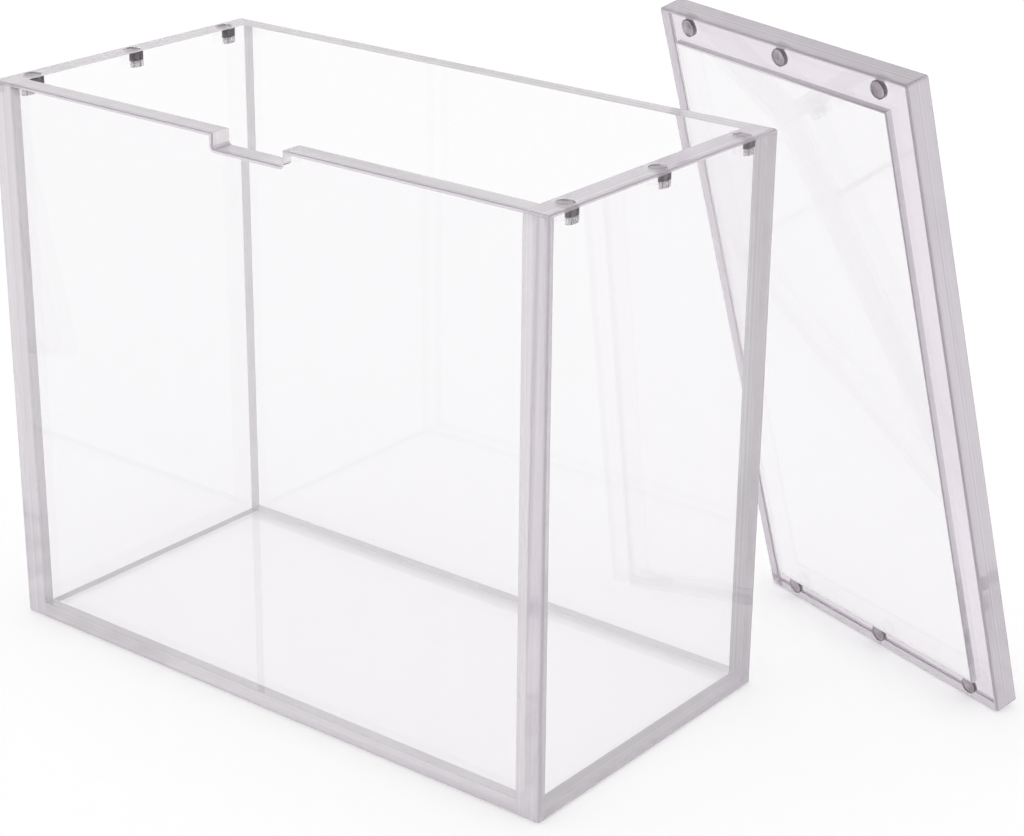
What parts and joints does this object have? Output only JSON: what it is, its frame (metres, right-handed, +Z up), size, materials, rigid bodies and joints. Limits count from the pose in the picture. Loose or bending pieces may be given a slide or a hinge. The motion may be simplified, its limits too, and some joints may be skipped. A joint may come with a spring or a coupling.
{
  "type": "acrylic case with magnetic lid",
  "caption": "Clear acrylic open-top case of bonded sheets with a thumb notch, and a loose lid with a locating plate and small disc magnets, leaning beside it.",
  "frame": {"origin": "centre of the case's underside, on the floor", "axes": "+X along the case towards the end where the lid leans, +Y from the notched front wall to the back, +Z up"},
  "size_m": [0.2729, 0.174, 0.1984],
  "materials": {
    "acrylic": "clear, polished",
    "magnet": "nickel plated"
  },
  "bodies": {
    "case": {"base_plate": "acrylic", "front_wall": "acrylic", "back_wall": "acrylic", "left_wall": "acrylic", "right_wall": "acrylic", "left_wall_magnet_front": "magnet", "left_wall_magnet_middle": "magnet", "left_wall_magnet_back": "magnet", "right_wall_magnet_front": "magnet", "right_wall_magnet_middle": "magnet", "right_wall_magnet_back": "magnet"},
    "lid": {"lid_plate": "acrylic", "lid_inner_plate": "acrylic", "lid_left_magnet_front": "magnet", "lid_left_magnet_middle": "magnet", "lid_left_magnet_back": "magnet", "lid_right_magnet_front": "magnet", "lid_right_magnet_middle": "magnet", "lid_right_magnet_back": "magnet"}
  },
  "joints": [
    {"name": "lid_lift", "type": "slide", "parent": "case", "child": "lid", "axis": [0, 0, 1], "range_m": [0, 0.25]}
  ]
}
